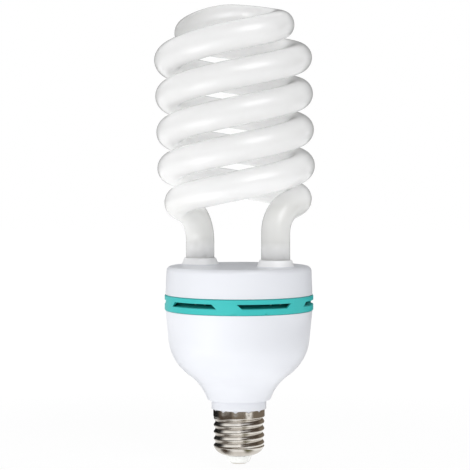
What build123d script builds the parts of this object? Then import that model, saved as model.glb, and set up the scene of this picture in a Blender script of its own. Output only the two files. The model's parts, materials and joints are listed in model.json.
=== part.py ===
from build123d import *
import math
import os

# A spiral compact fluorescent lamp that stands on its screw cap.
# Millimetres, +Z up the lamp's axis, origin on the face of the centre contact, front towards -Y.

# Clearances between pieces that fit together
seat_gap = 0.1
slip_gap = 0.2

# Screw cap: a 27 mm knuckle thread in thin sheet, closed by an insulator with the contact in it
cap_height = 28.6
skirt_diameter = 26.7
skirt_height = 4.2
stake_count = 12
stake_first = -8.0
stake_width = 2.4
stake_depth = 1.0
thread_major = 26.3
thread_minor = 24.5
thread_pitch = 3.629
thread_bottom = 9.0
thread_start = 172.0
shell_sheet = 0.3
shell_mouth = 14.0
shell_mouth_height = 4.4
shell_end_bulge = 1.6
end_bead = 0.05
insulator_tip = 10.8
insulator_tip_height = 0.6
insulator_edge = 0.7
insulator_depth = 4.2
contact_diameter = 8.6
contact_plate = 1.2
contact_edge = 0.4
eyelet_diameter = 3.0
eyelet_length = 3.4

# Lower housing: a neck, a concave flare, a convex shoulder and a drafted wall, one on the other
moulding_wall = 1.8
rim_diameter = 76.0
wall_draft = 5.5
wall_height = 15.2
shoulder_radius = 25.5
shoulder_slope = 55.0
flare_radius = 25.0
flare_slope = 18.0
flare_edge = 0.6
neck_diameter = 28.4
neck_height = 4.7
spigot_wall = 1.7
spigot_foot = 13.0

# Vent ring between the two mouldings, with a shadow gap at each seam and a sloped sill behind its slots
ring_height = 8.3
ring_proud = 0.45
ring_wall = 1.7
ring_edge = 0.2
seam_height = 0.35
seam_depth = 0.9
ring_spigot_depth = 2.3
ring_spigot_wall = 1.4
slot_count = 6
slot_middle = -39.5
slot_angle = 40.5
slot_slant = 1.25
slot_height = 2.4
slot_drop = 2.65
sill_rise = 1.5
latch_count = 3
latch_height = 0.6
latch_places = [(-4.0, 3.0), (20.5, 1.2)]

# Upper cover with the two collars that take the legs
cover_height = 14.6
cover_lean = 0.6
cover_edge = 2.6
lip_depth = 2.2
lip_wall = 1.5
collar_flare = 1.5
collar_wall = 0.5
collar_height = 3.6
collar_edge = 0.4
sleeve_depth = 10.5
cement_wall = 0.35

# Glass tube: legs, two arms of a double spiral that turn anticlockwise upwards, and the bridge on top
# Rises are counted from the cover's top, and those of the crown and the bridge from the end of the spiral
tube_diameter = 14.8
leg_spacing = 39.0
leg_stagger = 22.0
leg_shift = -0.8
leg_depth = 11.1
pinch_width = 9.0
pinch_thickness = 3.2
pinch_length = 4.0
coil_radius = 33.2
coil_pitch = 37.0
coil_rise = 32.6
coil_lean = 1.65
left_bend_rise = 12.4
right_bend_rise = 17.4
left_join_angle = 220.0
right_join_angle = 206.0
coil_end_angle = 930.0
crown_radius = 23.5
crown_shift = 0.8
crown_lead = 10.0
right_crown_rise = 13.2
left_crown_rise = 11.6
crown_climb = 6.8
bridge_rise = 17.5
bridge_heading = -150.0

# Circuit board on ribs in the housing, its posts and the two mains leads
board_thickness = 1.6
board_drop = 3.7
board_gap = 2.1
rib_count = 6
rib_first_angle = 30.0
rib_thickness = 2.0
rib_height = 12.4
rib_seat = 2.1
post_side = 1.0
post_height = 7.0
post_spacing = 5.0
lead_diameter = 0.8
mains_lead_diameter = 1.6
mains_lead_bend = 5.0
mains_lead_slack = 16.1
mains_lead_run = 6.1
contact_lead_place = (-4.0, 3.0)
shell_lead_x = 3.5
shell_lead_step = 1.5
shell_lead_gap = 1.1

# Ballast parts under the board, with the places of their middles
capacitor_place = (-7.0, -8.0)
capacitor_diameter = 16.0
capacitor_length = 32.0
capacitor_groove = 0.6
capacitor_groove_height = 3.6
capacitor_edge = 0.8
choke_place = (9.0, 9.0)
choke_width = 22.0
choke_depth = 8.0
choke_height = 20.0
choke_limb = 3.6
choke_middle = 6.4
choke_yoke = 3.6
bobbin_wall = 0.8
winding_depth = 15.6
winding_edge = 2.4
drive_place = (-9.0, 15.5)
drive_outer = 9.0
drive_inner = 4.6
drive_height = 4.0
drive_wire = 0.6
drive_groups = 3
drive_turns = 3
drive_turn_step = 26.0
transistor_places = [(-23.0, 2.0), (-20.5, 14.5)]
transistor_width = 10.0
transistor_depth = 4.4
transistor_height = 9.0
transistor_edge = 0.5
tab_thickness = 1.3
tab_length = 6.0
tab_hole = 3.6
pin_length = 3.5
pin_width = 0.9
pin_thickness = 0.5
pin_step = 2.54
film_places = [(18.0, -6.0), (18.0, -13.5), (6.0, -22.0), (-4.0, 24.0)]
film_width = 13.0
film_depth = 6.0
film_height = 11.0
film_edge = 1.0
diode_places = [(-22.5, -6.0), (-22.5, -10.0), (-20.5, -14.5), (-16.0, -19.0)]
diode_diameter = 2.8
diode_length = 5.2
diode_span = 8.5
resistor_places = [(-7.0, -20.5), (-7.0, -24.5), (-17.0, 22.8), (13.0, 21.6), (13.0, 25.4)]
turned_resistor_place = (24.5, 3.2)
resistor_diameter = 2.4
resistor_length = 6.3
resistor_span = 9.0
fuse_place = (19.0, -20.0)
fuse_diameter = 3.4
fuse_length = 6.0
fuse_span = 9.0
axial_edge = 0.45
thermistor_place = (-12.5, 4.6)
thermistor_diameter = 9.6
thermistor_thickness = 3.6
thermistor_edge = 0.8
thermistor_lift = 1.5
thermistor_pin_spacing = 5.0
filter_place = (6.4, -8.4)
filter_flange = 8.0
filter_wound = 7.0
filter_flange_thickness = 1.2
filter_height = 12.0

# Heights and sizes that follow from the values above, from the cap upwards
thread_top = cap_height - skirt_height
thread_radius = (thread_major + thread_minor) / 4
thread_throw = (thread_major - thread_minor) / 4
draft = math.radians(wall_draft)
slope = math.radians(shoulder_slope)
foot = math.radians(flare_slope)
neck_top = cap_height + neck_height
flare_z = neck_top - flare_radius * math.sin(foot)
shoulder_z = flare_z + (shoulder_radius + flare_radius) * math.sin(slope)
housing_rim = shoulder_z - shoulder_radius * math.sin(draft) + wall_height
cover_bottom = housing_rim + ring_height
cover_top = cover_bottom + cover_height
ring_diameter = rim_diameter + 2 * ring_proud
cover_top_diameter = rim_diameter - 2 * cover_lean
collar_bore = tube_diameter + 2 * cement_wall
sleeve_diameter = collar_bore + 2 * collar_wall
leg_foot = cover_top - leg_depth
coil_height = cover_top + coil_rise
board_top = housing_rim - board_drop
board_under = board_top - board_thickness
low = (Align.CENTER, Align.CENTER, Align.MIN)


def turned(*outline):
    """A solid of revolution about the lamp's axis, from radius and height pairs."""
    return revolve(Plane.XZ * make_face(Polyline(*outline, close=True)), Axis.Z)


def post(diameter, bottom, top, x=0.0, y=0.0):
    """A round upright post."""
    return Pos(x, y, bottom) * Cylinder(diameter / 2, top - bottom, align=low)


def block(width, depth, bottom, top, x=0.0, y=0.0):
    """An upright box."""
    return Pos(x, y, bottom) * Box(width, depth, top - bottom, align=low)


def wire(diameter, path):
    """A round wire along a path."""
    return sweep(Plane(origin=path @ 0, z_dir=path % 0) * Circle(diameter / 2), path=path)


def fused(shapes):
    """One solid from shapes that meet."""
    shapes = list(shapes)
    whole = shapes[0]
    for shape in shapes[1:]:
        whole = whole + shape
    return whole


# Screw cap


def shell_form(inset):
    """The screw shell's outside, or with an inset its hollow, as a full solid."""
    bottom = thread_bottom - inset
    top = thread_top + inset
    bead = thread_major / 2 + end_bead - inset
    mouth = (shell_mouth / 2 - inset, shell_mouth_height)
    neck = skirt_diameter / 2 - inset
    bulge = (bead - mouth[0] + shell_end_bulge) / 2 + mouth[0], (bottom + mouth[1] - shell_end_bulge) / 2
    outline = [
        Line((0, mouth[1]), mouth),
        ThreePointArc(mouth, bulge, (bead, bottom)),
        Polyline((bead, bottom), (0, bottom), (0, mouth[1])),
    ]
    end = revolve(Plane.XZ * make_face(outline), Axis.Z)
    turn = thread_start + (bottom - thread_bottom) / thread_pitch * 360
    helix = Pos(0, 0, bottom) * Rot(0, 0, turn) * Helix(thread_pitch, top - bottom, thread_throw)
    start = Plane(origin=helix @ 0, z_dir=(0, 0, 1))
    thread = sweep(start * Circle(thread_radius - inset), path=helix, normal=(0, 0, 1))
    skirt = turned((0, top), (neck, top), (neck, cap_height), (0, cap_height))
    return end + thread + skirt


def make_screw_shell():
    shell = shell_form(0) - shell_form(shell_sheet)
    foot_height = cap_height - stake_depth
    half = stake_width / 2
    notch = make_face(Polyline((-half, cap_height), (half, cap_height), (0, foot_height), close=True))
    cutter = extrude(Plane.XZ * notch, amount=skirt_diameter)
    for number in range(stake_count):
        shell -= Rot(0, 0, stake_first + number * 360 / stake_count) * cutter
    return shell


def make_cap_insulator():
    mouth = shell_mouth / 2 - shell_sheet - seat_gap
    tip = insulator_tip / 2
    top = shell_mouth_height + insulator_depth
    recess = contact_diameter / 2 + seat_gap
    bore = eyelet_diameter / 2 + seat_gap
    rim = shell_mouth / 2
    under = shell_mouth_height - seat_gap
    cone = turned(
        (bore, top),
        (mouth, top),
        (mouth, under),
        (rim, under),
        (tip, insulator_tip_height),
        (recess, insulator_tip_height),
        (recess, contact_plate + seat_gap),
        (bore, contact_plate + seat_gap),
    )
    tip_edge = cone.edges().filter_by(GeomType.CIRCLE).sort_by(Axis.Z)[:2].sort_by(SortBy.RADIUS)[-1]
    return fillet(tip_edge, insulator_edge)


def make_centre_contact():
    eyelet_top = contact_plate + eyelet_length
    plate = post(contact_diameter, 0, contact_plate)
    plate = chamfer(plate.edges().group_by(Axis.Z)[0], contact_edge)
    lead_hole = post(mains_lead_diameter + 2 * seat_gap, contact_plate, eyelet_top)
    return plate + post(eyelet_diameter, contact_plate, eyelet_top) - lead_hole


def make_contact_lead():
    x, y = contact_lead_place
    slack_top = neck_top + mains_lead_slack
    points = [(x, y, board_under), (x, y, slack_top), (0, 0, neck_top), (0, 0, contact_plate + seat_gap)]
    return wire(mains_lead_diameter, FilletPolyline(*points, radius=mains_lead_bend))


def make_shell_lead():
    x = shell_lead_x
    y = choke_place[1] - winding_depth / 2 - bobbin_wall - shell_lead_gap - mains_lead_diameter / 2
    wall = thread_minor / 2 - shell_sheet - seat_gap
    side = math.sqrt(wall ** 2 - (mains_lead_diameter / 2 - y) ** 2)
    slack_top = neck_top + mains_lead_slack
    turn = spigot_foot - mains_lead_diameter
    inner = x + shell_lead_step
    points = [
        (x, y, board_under),
        (x, y, slack_top),
        (inner, y, neck_top),
        (inner, y, turn),
        (side, y, turn),
    ]
    radii = [mains_lead_bend, mains_lead_bend, mains_lead_diameter]
    return wire(mains_lead_diameter, FilletPolyline(*points, radius=radii))


# Housing


def bowl_form(inset):
    """The lower housing's outside above the neck, or with an inset its hollow, as a full solid."""
    wall_foot = rim_diameter / 2 - wall_height * math.tan(draft)
    shoulder_x = wall_foot - shoulder_radius * math.cos(draft)
    flare_x = shoulder_x + (shoulder_radius + flare_radius) * math.cos(slope)

    def on_shoulder(angle):
        reach = shoulder_radius - inset
        return shoulder_x + reach * math.cos(angle), shoulder_z - reach * math.sin(angle)

    def on_flare(angle):
        reach = flare_radius + inset
        return flare_x - reach * math.cos(angle), flare_z + reach * math.sin(angle)

    rim = (rim_diameter / 2 - inset / math.cos(draft), housing_rim)
    neck = on_flare(foot)
    outline = [
        Line((0, housing_rim), rim),
        Line(rim, on_shoulder(draft)),
        ThreePointArc(on_shoulder(draft), on_shoulder((draft + slope) / 2), on_shoulder(slope)),
        ThreePointArc(on_flare(slope), on_flare((slope + foot) / 2), neck),
        Polyline(neck, (0, neck[1]), (0, housing_rim)),
    ]
    return revolve(Plane.XZ * make_face(outline), Axis.Z)


def hollow_radius(height):
    """Radius of the lower housing's hollow inside its drafted wall."""
    return rim_diameter / 2 - moulding_wall / math.cos(draft) - (housing_rim - height) * math.tan(draft)


def board_radius():
    return hollow_radius(board_under) - board_gap


def make_lower_housing():
    hollow = bowl_form(moulding_wall)
    bowl = bowl_form(0)
    bowl = fillet(bowl.edges().filter_by(GeomType.CIRCLE).group_by(Axis.Z)[0], flare_edge)
    spigot = thread_minor / 2 - shell_sheet - slip_gap
    collar = skirt_diameter / 2 - shell_sheet - seat_gap
    seat = thread_top + shell_sheet + seat_gap
    neck = turned(
        (0, neck_top + moulding_wall),
        (neck_diameter / 2, neck_top + moulding_wall),
        (neck_diameter / 2, cap_height),
        (collar, cap_height),
        (collar, seat),
        (spigot, seat),
        (spigot, spigot_foot),
        (0, spigot_foot),
    )
    bore = post(2 * (spigot - spigot_wall), spigot_foot, neck_top + 2 * moulding_wall)
    shell = bowl + neck - hollow - bore
    outer = rim_diameter / 2
    rib_inner = board_radius() - rib_seat
    rib_foot = board_under - rib_height
    rib = block(outer - rib_inner, rib_thickness, rib_foot, board_under, (outer + rib_inner) / 2)
    angles = [rib_first_angle + number * 360 / rib_count for number in range(rib_count)]
    return fused([shell, *((Rot(0, 0, angle) * rib) & hollow for angle in angles)])


def make_vent_ring():
    outer = ring_diameter / 2
    inner = outer - ring_wall
    spigot = hollow_radius(housing_rim - ring_spigot_depth) - slip_gap
    slot_top = cover_bottom - slot_drop
    sill = slot_top - slot_height
    seam = outer - seam_depth
    face_top = cover_bottom - seam_height
    face_foot = housing_rim + seam_height
    band = turned(
        (spigot - ring_spigot_wall, sill + sill_rise),
        (inner, sill),
        (inner, cover_bottom),
        (seam, cover_bottom),
        (seam, face_top),
        (outer - ring_edge, face_top),
        (outer, face_top - ring_edge),
        (outer, face_foot + ring_edge),
        (outer - ring_edge, face_foot),
        (seam, face_foot),
        (seam, housing_rim),
        (spigot, housing_rim),
        (spigot, housing_rim - ring_spigot_depth),
        (spigot - ring_spigot_wall, housing_rim - ring_spigot_depth),
    )
    half = outer * math.sin(math.radians(slot_angle / 2))
    behind_wall = post(2 * (inner - slip_gap), sill, slot_top)
    for number in range(slot_count):
        slant = slot_slant if number % 2 else -slot_slant
        upper, lower = half + slant, half - slant
        face = make_face(Polyline(
            (-upper, slot_top),
            (upper, slot_top),
            (lower, sill),
            (-lower, sill),
            close=True,
        ))
        cutter = extrude(Plane.XZ * face, amount=outer + ring_edge) - behind_wall
        band -= Rot(0, 0, slot_middle + number * 360 / slot_count) * cutter
    for angle, width in latch_places:
        notch = block(width, 2 * seam_depth, housing_rim, face_foot + latch_height, 0, -outer)
        for number in range(latch_count):
            band -= Rot(0, 0, angle + number * 360 / latch_count) * notch
    return band


def leg_places():
    """The middles of the two legs, the left one behind and the right one in front."""
    return [(leg_shift - side * leg_spacing / 2, side * leg_stagger / 2) for side in (1, -1)]


def make_upper_cover():
    outer_top = cover_top_diameter / 2
    outer_rim = rim_diameter / 2
    lip = ring_diameter / 2 - ring_wall - slip_gap
    ceiling = cover_top - moulding_wall
    body = turned(
        (0, cover_top),
        (outer_top, cover_top),
        (outer_rim, cover_bottom),
        (lip, cover_bottom),
        (lip, cover_bottom - lip_depth),
        (lip - lip_wall, cover_bottom - lip_depth),
        (lip - lip_wall, cover_bottom),
        (outer_top - moulding_wall, ceiling),
        (0, ceiling),
    )
    top_edge = body.edges().filter_by(GeomType.CIRCLE).group_by(Axis.Z)[-1]
    body = fillet(top_edge, cover_edge)
    for x, y in leg_places():
        collar = Cone(sleeve_diameter / 2 + collar_flare, sleeve_diameter / 2, collar_height, align=low)
        collar = Pos(x, y, cover_top) * fillet(collar.edges().group_by(Axis.Z)[-1], collar_edge)
        body += collar + post(sleeve_diameter, cover_top - sleeve_depth, cover_top, x, y)
    for x, y in leg_places():
        body -= post(collar_bore, cover_top - sleeve_depth, cover_top + collar_height, x, y)
    return body


# Glass tube


def two_arcs(start, start_way, end, end_way):
    """Two tangent arcs that leave the start one way and reach the end another way."""
    chord = end - start
    along = chord.dot(start_way + end_way)
    spread = 2 * (1 - start_way.dot(end_way))
    reach = (math.sqrt(along ** 2 + spread * chord.dot(chord)) - along) / spread
    joint = (start + end + (start_way - end_way) * reach) * 0.5
    first = TangentArc(start, joint, tangent=start_way)
    return [first, TangentArc(joint, end, tangent=first % 1)]


def tube_arm(side, bend_rise, join_angle, crown_rise):
    """One arm's centre line from its foot to the bridge; side is 1 for the left leg, -1 for the right."""
    lean = Pos(0, 0, cover_top) * Rot(0, -coil_lean, 0) * Pos(0, 0, -cover_top)
    half_turn = Rot(0, 0, 0 if side > 0 else 180)
    turns = (coil_end_angle - join_angle) / 360
    start_height = coil_height + (join_angle - 180) / 360 * coil_pitch
    end_height = start_height + turns * coil_pitch
    spiral = Rot(0, 0, join_angle) * Helix(coil_pitch, turns * coil_pitch, coil_radius)
    spiral = lean * half_turn * Pos(0, 0, start_height) * spiral

    def leaned(x, y, z):
        return (lean * Pos(x, y, z)).position

    def leaned_way(x, y, z):
        return (leaned(x, y, z) - leaned(0, 0, 0)).normalized()

    climb = math.radians(crown_climb)
    heading = math.radians(bridge_heading)
    crown = leaned(side * crown_radius + crown_shift, -side * crown_lead, end_height + crown_rise)
    crown_way = leaned_way(0, side * math.cos(climb), math.sin(climb))
    middle = leaned(0, 0, end_height + bridge_rise)
    middle_way = leaned_way(side * math.cos(heading), side * math.sin(heading), 0)
    x, y = leg_places()[0 if side > 0 else 1]
    bend = Vector(x, y, cover_top + bend_rise)
    return [
        Line((x, y, leg_foot), bend),
        *two_arcs(bend, Vector(0, 0, 1), spiral @ 0, spiral % 0),
        spiral,
        *two_arcs(spiral @ 1, spiral % 1, crown, crown_way),
        *two_arcs(crown, crown_way, middle, middle_way),
    ]


def make_spiral_tube():
    left = tube_arm(1, left_bend_rise, left_join_angle, right_crown_rise)
    right = tube_arm(-1, right_bend_rise, right_join_angle, left_crown_rise)
    path = Wire([*left, *reversed(right)])
    tube = wire(tube_diameter, path)
    wanted = math.pi * tube_diameter ** 2 / 4 * path.length
    print(f"tube: {path.length:.1f} mm long, volume {tube.volume / wanted:.5f} of section times length")
    for x, y in leg_places():
        pinch = block(pinch_width, pinch_thickness, leg_foot - pinch_length, leg_foot, x, y)
        tube += pinch
    return tube


def make_tube_cement():
    bottom = cover_top - sleeve_depth
    top = cover_top + collar_height - collar_edge
    plugs = []
    for x, y in leg_places():
        leg = post(tube_diameter + 2 * seat_gap, bottom, top, x, y)
        plugs.append(post(collar_bore - 2 * seat_gap, bottom, top, x, y) - leg)
    return plugs


# Ballast


def post_places():
    """The board's four lead posts, two under each leg."""
    steps = (-post_spacing / 2, post_spacing / 2)
    return [(x + step, y) for x, y in leg_places() for step in steps]


def make_circuit_board():
    return post(2 * board_radius(), board_under, board_top)


def make_lead_posts():
    return [block(post_side, post_side, board_top, board_top + post_height, x, y) for x, y in post_places()]


def make_electrode_leads():
    bottom = board_top + post_height
    return [post(lead_diameter, bottom, leg_foot - pinch_length, x, y) for x, y in post_places()]


def make_bulk_capacitor():
    radius = capacitor_diameter / 2
    groove = board_under - capacitor_groove_height
    bottom = board_under - capacitor_length
    can = turned(
        (0, board_under),
        (radius - capacitor_groove, board_under),
        (radius, board_under - capacitor_groove),
        (radius, groove + capacitor_groove),
        (radius - capacitor_groove, groove),
        (radius, groove - capacitor_groove),
        (radius, bottom + capacitor_edge),
        (radius - capacitor_edge, bottom),
        (0, bottom),
    )
    return Pos(*capacitor_place) * can


def choke_block(width, depth, trim):
    """A block between the choke's yokes, shortened by a trim at each end."""
    top = board_under - choke_yoke - trim
    bottom = board_under - choke_height + choke_yoke + trim
    return block(width, depth, bottom, top, *choke_place)


def make_choke_core():
    core = block(choke_width, choke_depth, board_under - choke_height, board_under, *choke_place)
    windows = choke_block(choke_width - 2 * choke_limb, choke_depth, 0)
    return core - windows + choke_block(choke_middle, choke_depth, 0)


def bobbin_sleeve(wall):
    return choke_block(choke_middle + 2 * wall, choke_depth + 2 * wall, seat_gap)


def make_choke_bobbin():
    width = choke_width - 2 * choke_limb - 2 * seat_gap
    depth = winding_depth + 2 * bobbin_wall
    flanges = choke_block(width, depth, seat_gap) - choke_block(width, depth, seat_gap + bobbin_wall)
    return flanges + bobbin_sleeve(seat_gap + bobbin_wall) - bobbin_sleeve(seat_gap)


def make_choke_winding():
    width = choke_width - 2 * choke_limb - 2 * seat_gap - 2 * bobbin_wall
    winding = choke_block(width, winding_depth, seat_gap + bobbin_wall + seat_gap)
    winding = fillet(winding.edges().filter_by(Axis.Z), winding_edge)
    return winding - bobbin_sleeve(seat_gap + bobbin_wall + seat_gap)


def make_drive_core():
    top = board_under - drive_wire - seat_gap
    core = post(drive_outer, top - drive_height, top, *drive_place)
    return core - post(drive_inner, top - drive_height, top, *drive_place)


def make_drive_windings():
    top = board_under - drive_wire - seat_gap
    inner = drive_inner / 2 - seat_gap
    width = drive_outer / 2 + seat_gap - inner
    height = drive_height + 2 * seat_gap
    loop = Box(width + 2 * drive_wire, drive_wire, height + 2 * drive_wire) - Box(width, drive_wire, height)
    loop = Pos(inner + width / 2, 0, top - drive_height / 2) * loop
    first_angles = [group * 360 / drive_groups for group in range(drive_groups)]
    angles = [first + turn * drive_turn_step for first in first_angles for turn in range(drive_turns)]
    return [Pos(*drive_place) * Rot(0, 0, angle) * loop for angle in angles]


def make_power_transistors():
    parts = []
    for x, y in transistor_places:
        top = board_under - pin_length
        bottom = top - transistor_height
        body = block(transistor_depth, transistor_width, bottom, top, x, y)
        body = chamfer(body.edges().group_by(Axis.Z)[0], transistor_edge)
        tab_x = x - transistor_depth / 2 + tab_thickness / 2
        tab = block(tab_thickness, transistor_width, bottom - tab_length, top - transistor_edge, tab_x, y)
        hole = Rot(0, 90, 0) * Cylinder(tab_hole / 2, 2 * tab_thickness)
        hole = Pos(tab_x, y, bottom - tab_length / 2) * hole
        pins = [block(pin_thickness, pin_width, top, board_under, x, y + n * pin_step) for n in (-1, 0, 1)]
        parts.append(fused([body, tab - hole, *pins]))
    return parts


def make_film_capacitors():
    parts = []
    for x, y in film_places:
        case = block(film_width, film_depth, board_under - film_height, board_under, x, y)
        parts.append(fillet(case.edges().filter_by(Axis.Z) + case.edges().group_by(Axis.Z)[0], film_edge))
    return parts


def axial_part(diameter, length, span, place, turn=0.0):
    """A part with a round body and two leads that bend up into the board."""
    rise = diameter / 2
    end = span / 2
    barrel = Rot(0, 90, 0) * Cylinder(rise, length)
    barrel = fillet(barrel.edges().filter_by(GeomType.CIRCLE), axial_edge)
    points = [(-end, 0, rise), (-end, 0, 0), (end, 0, 0), (end, 0, rise)]
    leads = wire(lead_diameter, FilletPolyline(*points, radius=lead_diameter / 2 + seat_gap))
    return Pos(*place, board_under - rise) * Rot(0, 0, turn) * (barrel + leads)


def make_rectifier_diodes():
    return [axial_part(diode_diameter, diode_length, diode_span, place) for place in diode_places]


def make_resistors():
    size = (resistor_diameter, resistor_length, resistor_span)
    flat = [axial_part(*size, place) for place in resistor_places]
    return [*flat, axial_part(*size, turned_resistor_place, turn=90)]


def make_fuse_resistor():
    return axial_part(fuse_diameter, fuse_length, fuse_span, fuse_place)


def make_start_thermistor():
    x, y = thermistor_place
    middle = board_under - thermistor_lift - thermistor_diameter / 2
    disc = Rot(0, 90, 0) * Cylinder(thermistor_diameter / 2, thermistor_thickness)
    disc = Pos(x, y, middle) * fillet(disc.edges().filter_by(GeomType.CIRCLE), thermistor_edge)
    steps = (-thermistor_pin_spacing / 2, thermistor_pin_spacing / 2)
    return fused([disc, *(post(lead_diameter, middle, board_under, x, y + step) for step in steps)])


def make_filter_choke():
    flange = filter_flange / 2
    wound = filter_wound / 2
    bottom = board_under - filter_height
    drum = turned(
        (0, board_under),
        (flange, board_under),
        (flange, board_under - filter_flange_thickness),
        (wound, board_under - filter_flange_thickness),
        (wound, bottom + filter_flange_thickness),
        (flange, bottom + filter_flange_thickness),
        (flange, bottom),
        (0, bottom),
    )
    return Pos(*filter_place) * drum


nodes = {
    "spiral_tube": make_spiral_tube,
    "tube_cement": make_tube_cement,
    "upper_cover": make_upper_cover,
    "vent_ring": make_vent_ring,
    "lower_housing": make_lower_housing,
    "screw_shell": make_screw_shell,
    "cap_insulator": make_cap_insulator,
    "centre_contact": make_centre_contact,
    "contact_lead": make_contact_lead,
    "shell_lead": make_shell_lead,
    "circuit_board": make_circuit_board,
    "lead_posts": make_lead_posts,
    "electrode_leads": make_electrode_leads,
    "bulk_capacitor": make_bulk_capacitor,
    "choke_core": make_choke_core,
    "choke_bobbin": make_choke_bobbin,
    "choke_winding": make_choke_winding,
    "drive_core": make_drive_core,
    "drive_windings": make_drive_windings,
    "power_transistors": make_power_transistors,
    "film_capacitors": make_film_capacitors,
    "rectifier_diodes": make_rectifier_diodes,
    "resistors": make_resistors,
    "fuse_resistor": make_fuse_resistor,
    "start_thermistor": make_start_thermistor,
    "filter_choke": make_filter_choke,
}

os.makedirs("parts", exist_ok=True)
for name, make in nodes.items():
    made = make()
    solids = [solid for shape in (made if isinstance(made, list) else [made]) for solid in shape.solids()]
    export_step(solids[0] if len(solids) == 1 else Compound(children=solids), f"parts/{name}.step")
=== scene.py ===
# %% [markdown]
# # A spiral fluorescent lamp
# The lamp stands on its screw cap: a white glass tube wound as a double spiral, two white mouldings with a
# teal vent ring between them, and a nickel-plated cap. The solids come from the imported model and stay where
# they are. This script gives each of them its finish, and builds finer meshes where the solids are plain:
# the glass tube and the rolled screw shell.

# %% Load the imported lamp
import json
import math

import bpy
from mathutils import Matrix, Vector


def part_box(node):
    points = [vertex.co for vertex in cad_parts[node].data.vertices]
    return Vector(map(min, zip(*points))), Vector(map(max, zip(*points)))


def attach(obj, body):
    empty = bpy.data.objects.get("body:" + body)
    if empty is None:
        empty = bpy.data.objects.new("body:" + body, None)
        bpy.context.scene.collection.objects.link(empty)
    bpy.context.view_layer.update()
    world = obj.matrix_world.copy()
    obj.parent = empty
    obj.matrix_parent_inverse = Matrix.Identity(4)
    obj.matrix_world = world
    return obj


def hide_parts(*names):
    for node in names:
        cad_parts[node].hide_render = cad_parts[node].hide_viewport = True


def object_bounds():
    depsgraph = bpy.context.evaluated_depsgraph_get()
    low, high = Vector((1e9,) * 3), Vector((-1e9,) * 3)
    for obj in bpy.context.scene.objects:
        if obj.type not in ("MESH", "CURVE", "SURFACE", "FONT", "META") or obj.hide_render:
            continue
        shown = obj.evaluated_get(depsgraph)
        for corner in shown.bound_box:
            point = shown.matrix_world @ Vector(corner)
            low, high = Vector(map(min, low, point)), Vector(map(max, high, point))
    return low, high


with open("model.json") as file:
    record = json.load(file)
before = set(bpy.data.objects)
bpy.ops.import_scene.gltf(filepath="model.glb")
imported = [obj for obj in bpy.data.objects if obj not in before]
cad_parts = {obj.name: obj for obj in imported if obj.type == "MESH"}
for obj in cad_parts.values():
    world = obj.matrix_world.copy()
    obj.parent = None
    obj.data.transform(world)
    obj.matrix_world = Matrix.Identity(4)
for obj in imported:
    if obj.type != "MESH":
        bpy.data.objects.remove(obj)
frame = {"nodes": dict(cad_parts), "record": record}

nodes = frame["nodes"]
slot_of = {part["node"]: part["material_slot"] for part in frame["record"]["subparts"]}
cad_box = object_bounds()
print(f"{len(nodes)} nodes in a box of {[round(size, 4) for size in cad_box[1] - cad_box[0]]} m")

# %% [markdown]
# ## Building a piece
# A piece that is turned or drawn is a stack of rings: the same number of points in each ring, joined by
# quads to the ring above. A lathe or a bevelled curve would give that too, but with our own rings every
# point can be moved, as the pinched ends of the tube and the stakes in the cap need. Sizes are written in
# millimetres, as on a drawing, and become metres here.

# %% Rings and pieces
MM = 0.001


def ring_quads(rings, sides, closed=False):
    """Quads between each ring and the next, and from the last to the first if the stack is closed."""
    quads = []
    for low in range(rings if closed else rings - 1):
        high = (low + 1) % rings
        for side in range(sides):
            right = (side + 1) % sides
            quads.append((low * sides + side, low * sides + right, high * sides + right, high * sides + side))
    return quads


def add_piece(node, points, faces, finish):
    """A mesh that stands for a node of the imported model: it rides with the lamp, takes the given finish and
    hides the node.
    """
    mesh = bpy.data.meshes.new(f"fine_{node}")
    mesh.from_pydata([Vector(point) * MM for point in points], [], faces)
    mesh.materials.append(finish)
    mesh.shade_smooth()
    piece = bpy.data.objects.new(f"fine_{node}", mesh)
    bpy.context.scene.collection.objects.link(piece)
    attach(piece, "root")
    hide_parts(node)
    print(f"{piece.name}: {len(points)} points, {len(faces)} faces")


# %% [markdown]
# ## Shader maths as Python
# A finish is a small graph of nodes. Written node by node it is hard to read, so one class wraps an output
# socket: sums and products of wires add Math nodes, and every other node comes from the method node().
# Only what changes over a surface is wired. A value that is the same all over is set on the shader itself.

# %% A wire between nodes
class Wire:
    """An output socket in a node tree, on which maths reads as Python."""

    def __init__(self, tree, socket=None):
        self.tree = tree
        self.socket = socket

    def node(self, kind, inputs=None, output=0, **settings):
        """Adds a node of any kind: settings first, then the values or wires of its sockets."""
        made = self.tree.nodes.new(kind)
        for name, value in settings.items():
            setattr(made, name, value)
        for key, value in (inputs or {}).items():
            if isinstance(value, Wire):
                self.tree.links.new(value.socket, made.inputs[key])
            else:
                made.inputs[key].default_value = value
        return Wire(self.tree, made.outputs[output])

    def into(self, node, socket):
        self.tree.links.new(self.socket, node.inputs[socket])

    def maths(self, operation, first, second):
        return self.node("ShaderNodeMath", {0: first, 1: second}, operation=operation)

    def __add__(self, other):
        return self.maths("ADD", self, other)

    def __sub__(self, other):
        return self.maths("SUBTRACT", self, other)

    def __rsub__(self, other):
        return self.maths("SUBTRACT", other, self)

    def __mul__(self, other):
        return self.maths("MULTIPLY", self, other)

    __radd__ = __add__
    __rmul__ = __mul__


# %% Helpers for finishes
# Numbers of a Mix node's sockets when it mixes colours; their names are shared with other kinds of mix.
MIX_SHARE, MIX_FIRST, MIX_SECOND, MIX_RESULT = 0, 6, 7, 2


def colour(red, green, blue):
    return red, green, blue, 1.0


def new_finish(name, **constants):
    """A material, its shader with the constants set on its sockets, and a wire of places in metres."""
    material = bpy.data.materials.new(name)
    material.use_nodes = True
    shader = material.node_tree.nodes["Principled BSDF"]
    for socket, value in constants.items():
        shader.inputs[socket.replace("_", " ")].default_value = value
    return material, shader, Wire(material.node_tree).node("ShaderNodeTexCoord", output="Object")


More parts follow.
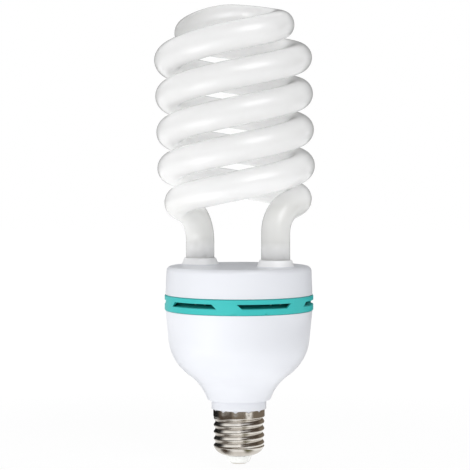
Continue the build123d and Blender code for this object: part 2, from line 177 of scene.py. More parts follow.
def noise(place, scale, detail=2.0, stretch=None):
    """Cloudy noise between 0 and 1; the scale is in features per metre."""
    if stretch:
        place = place.node("ShaderNodeVectorMath", {0: place, 1: stretch}, operation="MULTIPLY")
    return place.node("ShaderNodeTexNoise", {"Vector": place, "Scale": scale, "Detail": detail})


def rise(value, low, high):
    """0 below low, 1 above high and a smooth step between."""
    sockets = {"Value": value, "From Min": low, "From Max": high}
    return value.node("ShaderNodeMapRange", sockets, interpolation_type="SMOOTHSTEP")


def mix(share, first, second):
    """The first colour where the share is 0 and the second where it is 1."""
    sockets = {MIX_SHARE: share, MIX_FIRST: first, MIX_SECOND: second}
    return share.node("ShaderNodeMix", sockets, output=MIX_RESULT, data_type="RGBA")


def along(place, axis):
    """One coordinate of a place: X to the right, Y to the back and Z up."""
    return place.node("ShaderNodeSeparateXYZ", {0: place}, output=axis)


def radius_of(place):
    """Distance from the lamp's axis."""
    flat = place.node("ShaderNodeVectorMath", {0: place, 1: (1, 1, 0)}, operation="MULTIPLY")
    return place.node("ShaderNodeVectorMath", {0: flat}, output="Value", operation="LENGTH")


def bump(height, depth):
    """A normal that follows a height between 0 and 1, for relief of that depth in metres."""
    return height.node("ShaderNodeBump", {"Height": height, "Distance": depth}, output="Normal")


# %% [markdown]
# ## The double spiral
# The centre line is that of the solid: each leg rises straight, two tangent arcs lead it into its arm of the
# spiral, and at the top two more pairs of arcs lead the arm over the crown to the bridge. A curve object
# with a bevel would do, but its twist is hard to hold over four turns. Here a frame is carried along the
# line without twist, and a ring of points is set square to the line at each step.

# %% Sizes of the tube, in millimetres and degrees
TUBE_RADIUS = 7.4
TUBE_SIDES = 64
BOARD_DROP, RING_HEIGHT, COVER_HEIGHT = 3.7, 8.3, 14.6
COVER_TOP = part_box("circuit_board")[1].z / MM + BOARD_DROP + RING_HEIGHT + COVER_HEIGHT
LEG_X, LEG_Y, LEG_SHIFT = 19.5, 11.0, -0.8
LEG_DEPTH, PINCH_LENGTH, PINCH_WIDTH, PINCH_THICKNESS = 11.1, 4.0, 9.0, 3.2
COIL_RADIUS, COIL_PITCH, COIL_RISE, COIL_LEAN = 33.2, 37.0, 32.6, 1.65
COIL_BASE_ANGLE, COIL_END_ANGLE = 180.0, 930.0
CROWN_RADIUS, CROWN_SHIFT, CROWN_LEAD, CROWN_CLIMB = 23.5, 0.8, 10.0, 6.8
BRIDGE_RISE, BRIDGE_HEADING = 17.5, -150.0
LEG_STEP, ARC_STEP, ARC_LEAST_STEPS = 1.0, 2.0, 4
TURN_STEP, WAY_STEP = 3.0, 0.01
print(f"top of the cover at {COVER_TOP:.2f} mm")


# %% Arcs
def arc_points(start, way, end):
    """Points on the arc that leaves the start along a way and reaches the end, and its way there."""
    chord = end - start
    side = chord - chord.dot(way) * way
    side.normalize()
    turn = 2 * math.atan2(chord.dot(side), chord.dot(way))
    radius = chord.length / (2 * math.sin(turn / 2))
    count = max(ARC_LEAST_STEPS, round(radius * turn / ARC_STEP))
    angles = [turn * step / count for step in range(count + 1)]
    points = [start + radius * (math.sin(a) * way + (1 - math.cos(a)) * side) for a in angles]
    return points, math.cos(turn) * way + math.sin(turn) * side


def two_arcs(start, start_way, end, end_way):
    """Points on two tangent arcs that leave the start one way and reach the end another way."""
    chord = end - start
    forward = chord.dot(start_way + end_way)
    spread = 2 * (1 - start_way.dot(end_way))
    reach = (math.sqrt(forward ** 2 + spread * chord.dot(chord)) - forward) / spread
    joint = (start + end + (start_way - end_way) * reach) / 2
    first, joint_way = arc_points(start, start_way, joint)
    return first[1:] + arc_points(joint, joint_way, end)[0][1:]


# %% Places on an arm; the side is 1 for the arm of the left leg and -1 for the right
LEAN = Matrix.Rotation(math.radians(-COIL_LEAN), 3, "Y")
PIVOT = Vector((0, 0, COVER_TOP))


def leaned(x, y, z):
    """A place on the upright spiral, after the spiral's slight lean."""
    return LEAN @ (Vector((x, y, z)) - PIVOT) + PIVOT


def coil_height(angle):
    return COVER_TOP + COIL_RISE + (angle - COIL_BASE_ANGLE) / 360 * COIL_PITCH


def on_coil(side, angle):
    turned = math.radians(angle if side > 0 else angle + 180)
    return leaned(COIL_RADIUS * math.cos(turned), COIL_RADIUS * math.sin(turned), coil_height(angle))


def coil_way(side, angle):
    return (on_coil(side, angle + WAY_STEP) - on_coil(side, angle - WAY_STEP)).normalized()


def leg_axis(side, height):
    return Vector((-side * LEG_X + LEG_SHIFT, side * LEG_Y, height))


# %% Centre line
def arm_points(side, bend_rise, join_angle, crown_rise):
    """Points from the foot of a leg to the bridge."""
    foot = leg_axis(side, COVER_TOP - LEG_DEPTH - PINCH_LENGTH)
    bend = leg_axis(side, COVER_TOP + bend_rise)
    leg_steps = round((bend.z - foot.z) / LEG_STEP)
    leg = [foot.lerp(bend, step / leg_steps) for step in range(leg_steps + 1)]

    turn = COIL_END_ANGLE - join_angle
    turn_steps = round(turn / TURN_STEP)
    coil = [on_coil(side, join_angle + turn * step / turn_steps) for step in range(turn_steps + 1)]

    climb, heading = math.radians(CROWN_CLIMB), math.radians(BRIDGE_HEADING)
    top = coil_height(COIL_END_ANGLE)
    crown = leaned(side * CROWN_RADIUS + CROWN_SHIFT, -side * CROWN_LEAD, top + crown_rise)
    crown_way = LEAN @ Vector((0, side * math.cos(climb), math.sin(climb)))
    bridge = leaned(0, 0, top + BRIDGE_RISE)
    bridge_way = LEAN @ Vector((side * math.cos(heading), side * math.sin(heading), 0))
    return [
        *leg,
        *two_arcs(bend, Vector((0, 0, 1)), coil[0], coil_way(side, join_angle)),
        *coil[1:],
        *two_arcs(coil[-1], coil_way(side, COIL_END_ANGLE), crown, crown_way),
        *two_arcs(crown, crown_way, bridge, bridge_way),
    ]


left_arm = arm_points(1, bend_rise=12.4, join_angle=220.0, crown_rise=13.2)
right_arm = arm_points(-1, bend_rise=17.4, join_angle=206.0, crown_rise=11.6)
centre_line = left_arm + right_arm[-2::-1]
line_length = sum((end - start).length for start, end in zip(centre_line, centre_line[1:]))
print(f"{len(centre_line)} points on a centre line of {line_length:.1f} mm")


# %% The tube's rings
def tube_rings(line):
    """A ring of points square to the line at each of its points, carried along without twist."""
    points = []
    across = Vector((1, 0, 0))
    for number, middle in enumerate(line):
        way = line[min(number + 1, len(line) - 1)] - line[max(number - 1, 0)]
        way.normalize()
        across = (across - across.dot(way) * way).normalized()
        other = way.cross(across)
        for side in range(TUBE_SIDES):
            angle = math.tau * side / TUBE_SIDES
            points.append(middle + TUBE_RADIUS * (math.cos(angle) * across + math.sin(angle) * other))
    return points


def pinched(point):
    """The sealed end of a leg: below its foot the round tube is pressed to a flat."""
    foot = COVER_TOP - LEG_DEPTH
    if point.z >= foot:
        return point
    middle = leg_axis(1 if point.x < 0 else -1, point.z)
    share = min(1.0, 2 * (foot - point.z) / PINCH_LENGTH)
    width = 1 + share * (PINCH_WIDTH / 2 / TUBE_RADIUS - 1)
    depth = 1 + share * (PINCH_THICKNESS / 2 / TUBE_RADIUS - 1)
    return middle + (point - middle) * Vector((width, depth, 1))


tube_points = [pinched(point) for point in tube_rings(centre_line)]
tube_faces = ring_quads(len(centre_line), TUBE_SIDES)
tube_faces.append(tuple(reversed(range(TUBE_SIDES))))
tube_faces.append(tuple(range(len(tube_points) - TUBE_SIDES, len(tube_points))))
print(f"{len(centre_line)} rings of {TUBE_SIDES} points")

# %% [markdown]
# ## The coated glass
# The tube is clear glass with a white powder coating inside. The powder gives the white, and the smooth
# glass over it gives pale highlights. A mixed glass shader would need many samples, so a clear coat stands
# for the glass wall and the base, which lets light spread inside it, for the powder. The powder lies a
# little uneven. The legs are greyer, partly as thinner powder and partly as painted shade, and greyer to the
# right, so that the right leg is darker, as painted shade. The outside of the bend at the bridge's left end
# is painted grey, as painted shade. The drawn glass has slow waves that bend the highlights.

# %% Grey legs, part thinner powder and part painted shade, and painted shade at the bend, in millimetres; heights are counted from the cover's top
LEG_GREY_STARTS, LEG_GREY_FULL, LEG_GREY_FADES, LEG_GREY_ENDS = 6.4, 14.4, 27.4, 43.4
LEG_GREY_SHARE, LEG_SHADE_PER_METRE = 1.05, 4.0
# Where painted shade greys the outside of the bend at the bridge's left end.
BEND_SHADE_STARTS, BEND_SHADE_FULL, BEND_SHADE_SLANT = 120.9, 141.9, 0.45
BEND_SHADE_LEFT, BEND_SHADE_RIGHT = -28.0, 8.0
BEND_SHADE_FRONT, BEND_SHADE_BACK = -24.0, -2.0
# The legs' grey is part thinner powder, part painted shade; the grey at the bend is painted shade.
POWDER, POWDER_CLOUD = colour(0.975, 0.975, 0.967), colour(0.995, 0.995, 0.99)
LEG_GREY_AND_SHADE, BEND_SHADE_GREY = colour(0.62, 0.62, 0.595), colour(0.38, 0.38, 0.374)


def above_cover(height):
    """A height over the cover's top, as a place in metres."""
    return (COVER_TOP + height) * MM


def leg_grey_and_shade(place):
    """How grey the legs are: 0 is the full white coat, and from 1 upwards they are at their greyest; part a
    thinner coat, part painted shade, and the rise to the right is painted shade.
    """
    height = along(place, "Z")
    starts = rise(height, above_cover(LEG_GREY_STARTS), above_cover(LEG_GREY_FULL))
    ends = rise(height, above_cover(LEG_GREY_FADES), above_cover(LEG_GREY_ENDS))
    # The share grows to the right, so the right leg is greyer: painted shade.
    return starts * (1 - ends) * (LEG_GREY_SHARE + LEG_SHADE_PER_METRE * along(place, "X"))


def painted_shade_at_bend(place):
    """How much painted shade greys the bridge's left end, from 0 to 1; the limit slants up to the right."""
    right = along(place, "X")
    slanted = along(place, "Z") - BEND_SHADE_SLANT * right
    outside = rise(slanted, above_cover(BEND_SHADE_STARTS), above_cover(BEND_SHADE_FULL))
    leftward = 1 - rise(right, BEND_SHADE_LEFT * MM, BEND_SHADE_RIGHT * MM)
    return outside * leftward * rise(along(place, "Y"), BEND_SHADE_FRONT * MM, BEND_SHADE_BACK * MM)


# %% Finish of the glass, and the tube
def coated_glass():
    material, shader, place = new_finish(
        "coated_glass", Roughness=0.5, Specular_IOR_Level=0.2,
        Coat_Weight=1.0, Coat_Roughness=0.13, Coat_IOR=1.5,
        Subsurface_Weight=1.0, Subsurface_Radius=(1.0, 1.0, 1.0), Subsurface_Scale=0.070,
    )
    powder_and_shade = mix(noise(place, scale=260.0), POWDER, POWDER_CLOUD)
    # Greyer legs: part thinner powder, part painted shade.
    powder_and_shade = mix(leg_grey_and_shade(place), powder_and_shade, LEG_GREY_AND_SHADE)
    # The bridge's left end is painted grey, as painted shade.
    mix(painted_shade_at_bend(place), powder_and_shade, BEND_SHADE_GREY).into(shader, "Base Color")
    bump(noise(place, scale=45.0, detail=0.0), depth=0.00006).into(shader, "Normal")
    return material


glass = coated_glass()
add_piece("spiral_tube", tube_points, tube_faces, glass)

# %% [markdown]
# ## The white and teal mouldings
# The cover, the bowl and the vent ring are moulded plastic with a half gloss. Their solids have the right
# shape, so they stay and only take a finish: a fine spark-eroded grain that breaks up the gloss, and slow
# changes of tone where the melt ran. Each has a second colour, which is painted light or shade: the collars
# round the legs are painted paler than the cover, as painted light, and behind its outer wall the ring is
# painted dark, as painted shade. A solid has one material, so a mask by height or by radius tells where the
# second colour is.

# %% Finish of the mouldings
# Where the painted light on the collars and the painted shade inside the ring start, and how far they blend,
# in millimetres.
COLLAR_FOOT, COLLAR_BLEND = 0.1, 0.6
RING_INSIDE, RING_BLEND = 36.1, 0.6


def moulding(name, pale, deep, gloss, other, painted_tone_share):
    """A moulded plastic of two tones, where the second is painted light or painted shade and a mask says
    where it takes over.
    """
    material, shader, place = new_finish(name, Specular_IOR_Level=0.35)
    grain = noise(place, scale=3200.0)
    skin = mix(noise(place, scale=55.0, detail=1.0), deep, pale)
    mix(painted_tone_share(place), skin, other).into(shader, "Base Color")
    (gloss + grain * 0.08).into(shader, "Roughness")
    bump(grain, depth=0.000012).into(shader, "Normal")
    return material


# The collars are painted paler, as painted light.
def painted_light_on_collars(place):
    return rise(along(place, "Z"), above_cover(COLLAR_FOOT), above_cover(COLLAR_FOOT + COLLAR_BLEND))


# Inside its outer wall the ring is painted dark, as painted shade.
def painted_shade_inside_ring(place):
    return 1 - rise(radius_of(place), RING_INSIDE * MM, (RING_INSIDE + RING_BLEND) * MM)


# The collars' paler tone is painted light.
white = moulding(
    "white_moulding", pale=colour(0.775, 0.79, 0.83), deep=colour(0.745, 0.76, 0.805), gloss=0.34,
    other=colour(0.94, 0.945, 0.955), painted_tone_share=painted_light_on_collars,
)
# The ring's dark tone inside its outer wall is painted shade.
teal = moulding(
    "teal_moulding", pale=colour(0.045, 0.53, 0.515), deep=colour(0.035, 0.47, 0.46), gloss=0.30,
    other=colour(0.004, 0.17, 0.16), painted_tone_share=painted_shade_inside_ring,
)
print("finishes:", white.name, teal.name)

# %% [markdown]
# ## The nickel cap
# The screw shell is rolled from thin sheet and nickel-plated. The thread is a rounded wave that runs out
# into a smooth skirt at the top and into a round end at the bottom, and the skirt is staked into the plastic
# neck all round. The solid has the thread; the run-out and the soft dents of the stakes are small, so they
# are made here, by working out the radius at each angle and height.

# %% Sizes of the screw shell, in millimetres and degrees
SHELL_SIDES = 240
SHEET = 0.3
THREAD_RADIUS, THREAD_DEPTH, THREAD_PITCH = 12.7, 0.45, 3.629
THREAD_BOTTOM, THREAD_TOP, THREAD_START = 9.0, 24.4, 172.0
BEAD_RADIUS, SKIRT_RADIUS, CAP_TOP = 13.2, 13.35, 28.6
MOUTH_RADIUS, MOUTH_HEIGHT = 7.0, 4.4
BULGE_RADIUS, BULGE_HEIGHT = 10.9, 5.9
RUN_OUT = 1.3
STAKE_COUNT, STAKE_FIRST, STAKE_WIDTH = 12, -98.0, 5.0
STAKE_DEPTH, STAKE_DIP, STAKE_FOOT = 0.12, 1.0, 0.8
END_STEPS, THREAD_STEP, SKIRT_STEPS = 16, 0.2, 16
print(f"thread of {(THREAD_TOP - THREAD_BOTTOM) / THREAD_PITCH:.1f} turns under {STAKE_COUNT} stakes")


# %% The rolled shape
def smooth(value, low, high):
    """0 below low, 1 above high and a smooth step between, for plain numbers."""
    share = min(1.0, max(0.0, (value - low) / (high - low)))
    return share * share * (3 - 2 * share)


def stake(angle):
    """How near an angle is to the middle of a stake, from 0 to 1."""
    pitch = 360 / STAKE_COUNT
    off = (angle - STAKE_FIRST + pitch / 2) % pitch - pitch / 2
    return math.exp(-(off / STAKE_WIDTH) ** 2)


def threaded(angle, height):
    """Radius of the shell's outside above its round end."""
    wave = math.cos(math.tau * (height - THREAD_BOTTOM) / THREAD_PITCH - math.radians(angle - THREAD_START))
    low = 1 - smooth(height, THREAD_BOTTOM, THREAD_BOTTOM + RUN_OUT)
    high = smooth(height, THREAD_TOP - RUN_OUT / 2, THREAD_TOP + RUN_OUT / 4)
    middle = THREAD_RADIUS + low * (BEAD_RADIUS - THREAD_RADIUS) + high * (SKIRT_RADIUS - THREAD_RADIUS)
    pressed = stake(angle) * smooth(height, THREAD_TOP + STAKE_FOOT, CAP_TOP - STAKE_DIP)
    return middle + (1 - low) * (1 - high) * THREAD_DEPTH * wave - STAKE_DEPTH * pressed


def round_end():
    """Radius and height pairs on a curve from the mouth, through the bulge, to below the bead."""
    mouth, bead = Vector((MOUTH_RADIUS, MOUTH_HEIGHT)), Vector((BEAD_RADIUS, THREAD_BOTTOM))
    control = 2 * Vector((BULGE_RADIUS, BULGE_HEIGHT)) - (mouth + bead) / 2
    shares = [step / END_STEPS for step in range(END_STEPS)]
    return [(1 - s) ** 2 * mouth + 2 * s * (1 - s) * control + s ** 2 * bead for s in shares]


# %% The shell's rings
def shell_outside(angle):
    """Radius and height pairs up the shell's outside at one angle."""
    top = CAP_TOP - STAKE_DIP * stake(angle)
    thread_steps = round((THREAD_TOP - THREAD_BOTTOM) / THREAD_STEP)
    thread = [THREAD_BOTTOM + THREAD_STEP * step for step in range(thread_steps)]
    skirt = [THREAD_TOP + (top - THREAD_TOP) * step / SKIRT_STEPS for step in range(SKIRT_STEPS + 1)]
    return [tuple(pair) for pair in round_end()] + [(threaded(angle, z), z) for z in thread + skirt]


def shell_points():
    """Rings up the outside of the sheet and down its inside, and how many they are."""
    columns = []
    for side in range(SHELL_SIDES):
        angle = 360 * side / SHELL_SIDES
        outside = shell_outside(angle)
        outline = outside + [(r - SHEET, z) for r, z in reversed(outside)]
        across = math.cos(math.radians(angle)), math.sin(math.radians(angle))
        columns.append([(r * across[0], r * across[1], z) for r, z in outline])
    return [column[ring] for ring in range(len(columns[0])) for column in columns], len(columns[0])


shell_corners, shell_rings = shell_points()
shell_faces = ring_quads(shell_rings, SHELL_SIDES, closed=True)
print(f"{shell_rings} rings of {SHELL_SIDES} points")

# %% Finish of the plated sheet, and the shell
GROOVE_INNER, GROOVE_OUTER, GROOVE_SHARE = 12.35, 12.8, 0.5


def nickel_sheet():
    """Nickel plate with drawn streaks, browner in the thread's grooves."""
    material, shader, place = new_finish("nickel_sheet", Metallic=1.0)
    streaks = noise(place, scale=90.0, detail=4.0, stretch=(1, 1, 14))
    plate = mix(noise(place, scale=240.0), colour(0.80, 0.77, 0.72), colour(0.70, 0.66, 0.60))
    groove = 1 - rise(radius_of(place), GROOVE_INNER * MM, GROOVE_OUTER * MM)
    mix(groove * GROOVE_SHARE, plate, colour(0.46, 0.41, 0.35)).into(shader, "Base Color")
    (0.10 + 0.14 * streaks).into(shader, "Roughness")
    bump(streaks, depth=0.00002).into(shader, "Normal")
    return material


add_piece("screw_shell", shell_corners, shell_faces, nickel_sheet())

# %% [markdown]
# ## The cap's end, the cement and the parts inside
# These solids stay as they are. The insulator is a glossy white moulding, the contact is tinned brass, and
# the cement is dull and gritty. The ballast can't be seen in the closed lamp, but each part still gets a
# finish of its own: lacquer, shrink sleeve, ferrite, epoxy, copper wire or laminate. They differ only in
# tones, grain and gloss, so one function makes them from a table.

# %% Plain finishes of small parts
# A Wave texture of scale 1 goes through this angle in a metre.
WAVE_RADIANS = 20.0


def grained(name, pale, deep, scale, roughness, relief, metallic):
    """A finish with two tones, a grain of that many features per metre and its relief in metres."""
    material, shader, place = new_finish(name, Metallic=metallic)
    grain = noise(place, scale, detail=4.0)
    mix(grain, colour(*deep), colour(*pale)).into(shader, "Base Color")
    (roughness + 0.15 * grain).into(shader, "Roughness")
    bump(grain, relief).into(shader, "Normal")
    return material


def wound_wire(name, turns):
    """Enamelled copper wire, wound in turns of that many per metre."""
    material, shader, place = new_finish(name, Metallic=1.0, Roughness=0.35)
    sockets = {"Vector": place, "Scale": turns * math.tau / WAVE_RADIANS, "Distortion": 0.4}
    turn = place.node("ShaderNodeTexWave", sockets, output="Fac", bands_direction="Z")
    mix(turn, colour(0.28, 0.09, 0.03), colour(0.62, 0.25, 0.10)).into(shader, "Base Color")
    bump(turn, depth=0.0001).into(shader, "Normal")
    return material


# %% Looks of the small parts: pale and deep tone, features per metre, roughness, relief, metallic
SMALL_LOOKS = {
    "white_insulator": ((0.93, 0.94, 0.93), (0.89, 0.90, 0.88), 500, 0.20, 0.00001, 0.0),
    "contact_metal": ((0.78, 0.75, 0.70), (0.60, 0.55, 0.47), 700, 0.25, 0.00003, 1.0),
    "cement": ((0.84, 0.83, 0.79), (0.70, 0.69, 0.64), 1800, 0.70, 0.00012, 0.0),
    "lead_sleeve": ((0.78, 0.77, 0.73), (0.70, 0.69, 0.65), 900, 0.35, 0.00001, 0.0),
    "board": ((0.46, 0.30, 0.14), (0.36, 0.22, 0.09), 1200, 0.50, 0.00002, 0.0),
    "tinned_pin": ((0.42, 0.42, 0.42), (0.30, 0.30, 0.30), 1500, 0.45, 0.00001, 1.0),
    "capacitor_sleeve": ((0.04, 0.05, 0.06), (0.02, 0.03, 0.04), 600, 0.30, 0.00001, 0.0),
    "ferrite": ((0.07, 0.07, 0.07), (0.04, 0.04, 0.04), 2600, 0.50, 0.00003, 0.0),
    "bobbin_plastic": ((0.03, 0.03, 0.03), (0.02, 0.02, 0.02), 1500, 0.45, 0.00001, 0.0),
    "black_epoxy": ((0.03, 0.03, 0.03), (0.015, 0.015, 0.015), 2200, 0.50, 0.00002, 0.0),
    "film_coating": ((0.40, 0.09, 0.05), (0.30, 0.06, 0.03), 400, 0.30, 0.00003, 0.0),
    "resistor_coating": ((0.65, 0.50, 0.32), (0.54, 0.40, 0.24), 800, 0.35, 0.00002, 0.0),
    "fuse_coating": ((0.24, 0.40, 0.26), (0.17, 0.30, 0.19), 800, 0.35, 0.00002, 0.0),
    "thermistor_coating": ((0.15, 0.24, 0.40), (0.10, 0.17, 0.30), 900, 0.50, 0.00003, 0.0),
    "filter_sleeve": ((0.04, 0.04, 0.04), (0.025, 0.025, 0.025), 600, 0.30, 0.00001, 0.0),
}
finish_of = {slot: grained(slot, *looks) for slot, looks in SMALL_LOOKS.items()}
finish_of["copper_wire"] = wound_wire("copper_wire", turns=398)
finish_of.update(coated_glass=glass, white_moulding=white, teal_moulding=teal)
print(f"{len(finish_of)} finishes for solids")

# %% Give the solids their finishes
dressed = [name for name in nodes if slot_of[name] in finish_of]
for name in dressed:
    nodes[name].material_slots[0].material = finish_of[slot_of[name]]
print(f"{len(dressed)} of {len(nodes)} nodes have a finish from the table")

# %% [markdown]
# ## The surround and the floor
# The lamp stands in a white surround on a pale floor. The surround is white to the camera and in
# reflections, and dimmer as a light, so that the white lamp keeps its shading. As a light it is brightest
# at the left, behind and below. A picture of a white room could do the same, but a formula needs no file.
# The floor mixes its own white with its lit surface, and so keeps a faint shadow of the lamp.

# %% White surround
SURROUND_LIGHT, SURROUND_FALL, SURROUND_BACK, SURROUND_TOP = 0.71, 0.31, 0.38, 0.15
WHITE = colour(1.0, 1.0, 1.0)


def seen_rays(wire):
    """1 for rays from the camera, from gloss and through glass, and 0 for the light itself."""
    camera, gloss, through = (
        wire.node("ShaderNodeLightPath", output=name)
        for name in ("Is Camera Ray", "Is Glossy Ray", "Is Transmission Ray")
    )
    return wire.maths("MAXIMUM", wire.maths("MAXIMUM", camera, gloss), through)


world = bpy.data.worlds.new("studio")
bpy.context.scene.world = world
world.use_nodes = True
background = world.node_tree.nodes["Background"]
background.inputs["Color"].default_value = WHITE
seen = seen_rays(Wire(world.node_tree))
way = seen.node("ShaderNodeTexCoord", output="Generated")
sideways = SURROUND_LIGHT - SURROUND_FALL * along(way, "X")
surround_light = sideways + SURROUND_BACK * along(way, "Y") - SURROUND_TOP * along(way, "Z")
(seen + (1 - seen) * surround_light).into(background, "Strength")
print(f"surround: white, with light of {SURROUND_LIGHT} that falls by {SURROUND_FALL} to the right")

# %% Floor, in metres
FLOOR_SIZE, FLOOR_WHITE, FLOOR_GLOW = 6.0, 0.90, 1.02
FLOOR_LIT, FLOOR_FAR = 0.12, 0.45


def stage_sheet(name, width, depth, finish):
    """A flat rectangle round its own origin that belongs to the stage."""
    right, back = width / 2, depth / 2
    mesh = bpy.data.meshes.new(name)
    corners = [(-right, -back, 0), (right, -back, 0), (right, back, 0), (-right, back, 0)]
    mesh.from_pydata(corners, [], [(0, 1, 2, 3)])
    mesh.materials.append(finish)
    sheet = bpy.data.objects.new(name, mesh)
    bpy.context.scene.collection.objects.link(sheet)
    return sheet


def pale_floor():
    """Lit paint near the lamp, for its shadow, that turns into plain white farther off."""
    material = bpy.data.materials.new("pale_floor")
    material.use_nodes = True
    wire = Wire(material.node_tree)
    lit = wire.node("ShaderNodeBsdfDiffuse", {"Color": colour(0.92, 0.92, 0.92)})
    glow = wire.node("ShaderNodeEmission", {"Color": WHITE, "Strength": FLOOR_GLOW})
    far = rise(radius_of(wire.node("ShaderNodeTexCoord", output="Object")), FLOOR_LIT, FLOOR_FAR)
    share = seen_rays(wire) * (FLOOR_WHITE + (1 - FLOOR_WHITE) * far)
    both = wire.node("ShaderNodeMixShader", {0: share, 1: lit, 2: glow})
    both.into(material.node_tree.nodes["Material Output"], "Surface")
    return material


floor = stage_sheet("floor", FLOOR_SIZE, FLOOR_SIZE, pale_floor())
floor.location.z = cad_box[0].z
print(f"floor: {FLOOR_SIZE} m square at a height of {floor.location.z:.4f} m")

# %% [markdown]
# ## The lamps
# Two soft boxes light the lamp, a broad one in front, a little to the left, and a small one high at the
# right. Two panels lie on the floor, as a light table does, and light the strands from below. An area lamp
# is usually set by its power, but its brightness then changes with its size, so each is given by its
# radiance. Reflections don't show them, because cards draw the highlights in the next step.

# %% Soft boxes, in metres and degrees
MIDDLE = Vector((0, 0, 0.13))
UP = Vector((0, 0, 1))
PANEL_LIFT = 0.0008


def placed(azimuth, elevation, distance):
    """A place round the lamp's middle; azimuth 0 is the camera's side and grows towards the right."""
    a, e = math.radians(azimuth), math.radians(elevation)
    return MIDDLE + distance * Vector((math.sin(a) * math.cos(e), -math.cos(a) * math.cos(e), math.sin(e)))


def facing(place, aim):
    """The turn that points a lamp, a card or a camera at its aim."""
    return (aim - place).to_track_quat("-Z", "Y").to_euler()


def soft_box(name, place, size, radiance, aim=MIDDLE):
    """A square of light that faces its aim; a radiance of 1 is as bright as white paper."""
    light = bpy.data.lights.new(name, "AREA")
    light.size = size
    light.energy = radiance * math.pi * size ** 2
    box = bpy.data.objects.new(name, light)
    box.location = place
    box.rotation_euler = facing(place, aim)
    box.visible_camera = False
    box.visible_glossy = False
    bpy.context.scene.collection.objects.link(box)
    return box


def light_panel(name, x, y, size, radiance):
    """A soft box that lies on the floor and faces up."""
    place = Vector((x, y, PANEL_LIFT))
    return soft_box(name, place, size, radiance, aim=place + UP)


lamps = [
    soft_box("key_left", placed(azimuth=-15, elevation=8, distance=1.0), size=0.9, radiance=1.05),
    soft_box("top_right", placed(azimuth=28, elevation=38, distance=0.9), size=0.45, radiance=2.8),
    light_panel("low_left", x=-0.15, y=-0.155, size=0.18, radiance=0.8),
    light_panel("light_table", x=0.0, y=0.0, size=1.0, radiance=0.54),
]
print("lamps:", *(lamp.name for lamp in lamps))

# %% [markdown]
# ## The cards
# Polished sheet shows only what stands round it. In an all-white room the cap would turn white, so dark
# cards stand close to it, as a photographer sets them. Grey cards farther off draw the thin dark rims of
# the glass, and two bright ones draw its highlights. Lamps could draw those too, but they would also change
# the shading. Only reflections show the cards, and their edges fade out so that no hard line shows.

# %% A card that only reflections show
def card_finish(name, width, height, shade, solid):
    """A glow of the shade; beyond its solid share it fades out to the card's edges."""
    material = bpy.data.materials.new(name)
    material.use_nodes = True
    place = Wire(material.node_tree).node("ShaderNodeTexCoord", output="Object")
    to_edges = (2 / width, 2 / height, 0)
    place = place.node("ShaderNodeVectorMath", {0: place, 1: to_edges}, operation="MULTIPLY")
    place = place.node("ShaderNodeVectorMath", {0: place}, operation="ABSOLUTE")
    inside = (1 - rise(along(place, "X"), solid, 1.0)) * (1 - rise(along(place, "Y"), solid, 1.0))
    clear = place.node("ShaderNodeBsdfTransparent")
    glow = place.node("ShaderNodeEmission", {"Color": colour(*shade), "Strength": 1.0})
    both = place.node("ShaderNodeMixShader", {0: inside, 1: clear, 2: glow})
    both.into(material.node_tree.nodes["Material Output"], "Surface")
    return material


def card(name, place, aim, width, height, shade, solid=0.5):
    """A card that faces its aim."""
    sheet = stage_sheet(name, width, height, card_finish(name, width, height, shade, solid))
    sheet.location = place
    sheet.rotation_euler = facing(place, aim)
    sheet.visible_camera = False
    sheet.visible_diffuse = False
    sheet.visible_shadow = False
    sheet.visible_transmission = False
    return sheet


# %% Places and shades of the cards, in metres and degrees
BODY_MIDDLE = Vector((0, 0, 0.078))
CAP_MIDDLE = Vector((0, 0, 0.016))
COIL_MIDDLE = Vector((0, 0, 0.186))
BROWN, TAUPE, OLIVE = (0.08, 0.06, 0.045), (0.20, 0.165, 0.13), (0.16, 0.15, 0.09)
CARD_LIFT, HIGHLIGHT_LIFT = 0.0008, 0.003


def grey(level):
    return level, level, level


def beside(azimuth, distance, height):
    """A place beside the lamp's axis, as placed() counts azimuths."""
    a = math.radians(azimuth)
    return Vector((distance * math.sin(a), -distance * math.cos(a), height))


def floor_card(name, x, y, lift, width, depth, shade, solid):
    """A card that lies just above the floor and faces up."""
    place = Vector((x, y, lift))
    return card(name, place, place + UP, width, depth, shade, solid)


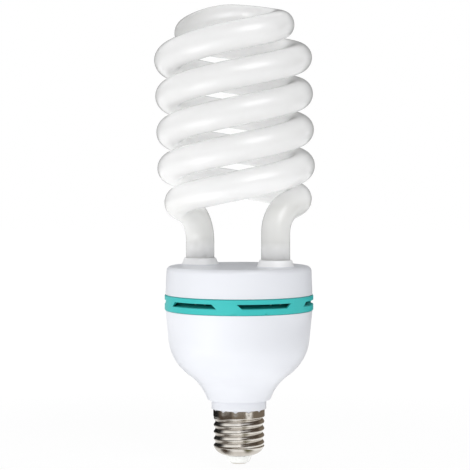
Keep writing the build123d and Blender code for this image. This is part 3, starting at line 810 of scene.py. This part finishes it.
# %% Cards for the glass and the mouldings
glass_cards = [
    card("far_back", placed(174, 0, 0.8), MIDDLE, 1.8, 1.4, grey(0.10)),
    card("far_right", placed(100, 5, 0.9), MIDDLE, 1.0, 1.4, grey(0.25), solid=0.2),
]
for azimuth in (-135, -90, -45, 0, 45):
    glass_cards.append(card(f"far_{azimuth}", placed(azimuth, 4, 0.8), COIL_MIDDLE, 0.9, 0.5, grey(0.25)))
glass_cards += [
    floor_card("low_left_card", -0.19, -0.18, HIGHLIGHT_LIFT, 0.34, 0.34, grey(4.0), solid=0.2),
    card("high_right_card", placed(28, 38, 0.9), MIDDLE, 1.05, 1.05, grey(5.5), solid=0.05),
    card("body_right", beside(125, 0.13, 0.078), BODY_MIDDLE, 0.16, 0.08, grey(0.05), solid=0.3),
]
print(len(glass_cards), "cards for the glass and the mouldings")

# %% Cards for the cap
cap_cards = [
    card("cap_back_left", beside(-128, 0.05, 0.03), CAP_MIDDLE, 0.15, 0.09, grey(0.01), solid=0.3),
    card("cap_left", beside(-62, 0.055, 0.012), CAP_MIDDLE, 0.12, 0.036, BROWN),
    card("cap_front", beside(-4, 0.06, 0.012), CAP_MIDDLE, 0.105, 0.032, TAUPE, solid=0.6),
    floor_card("cap_floor", -0.055, -0.02, CARD_LIFT, 0.10, 0.14, BROWN, solid=0.2),
    floor_card("cap_under", -0.014, -0.010, CARD_LIFT, 0.022, 0.018, BROWN, solid=0.2),
    floor_card("cap_under_right", 0.010, -0.018, CARD_LIFT, 0.014, 0.024, OLIVE, solid=0.3),
    card("cap_over_right", beside(60, 0.05, 0.058), CAP_MIDDLE, 0.16, 0.08, BROWN, solid=0.55),
    card("cap_right", beside(88, 0.055, 0.014), CAP_MIDDLE, 0.105, 0.036, TAUPE),
    card("cap_back_right", beside(140, 0.06, 0.03), CAP_MIDDLE, 0.10, 0.07, TAUPE),
]
print(len(cap_cards), "cards for the cap")

# %% [markdown]
# ## The camera
# The photograph was taken from almost level, a little above the lamp's middle, with a long lens. The place
# and the lens come from matching the lamp's outline, with the picture taken as a square.

# %% Camera, in metres and its lens in millimetres
CAMERA_PLACE = Vector((-0.00207, -0.920, 0.1575))
CAMERA_AIM = Vector((CAMERA_PLACE.x, 0, 0.1185))
LENS, SENSOR = 136.4, 36.0
camera = bpy.data.objects.new("camera", bpy.data.cameras.new("camera"))
camera.location = CAMERA_PLACE
camera.rotation_euler = facing(CAMERA_PLACE, CAMERA_AIM)
camera.data.lens = LENS
camera.data.sensor_width = SENSOR
bpy.context.scene.collection.objects.link(camera)
bpy.context.scene.camera = camera
bpy.context.scene.view_settings.view_transform = "Standard"
print(f"camera: {LENS} mm lens, {(CAMERA_AIM - CAMERA_PLACE).length:.3f} m from the lamp's axis")
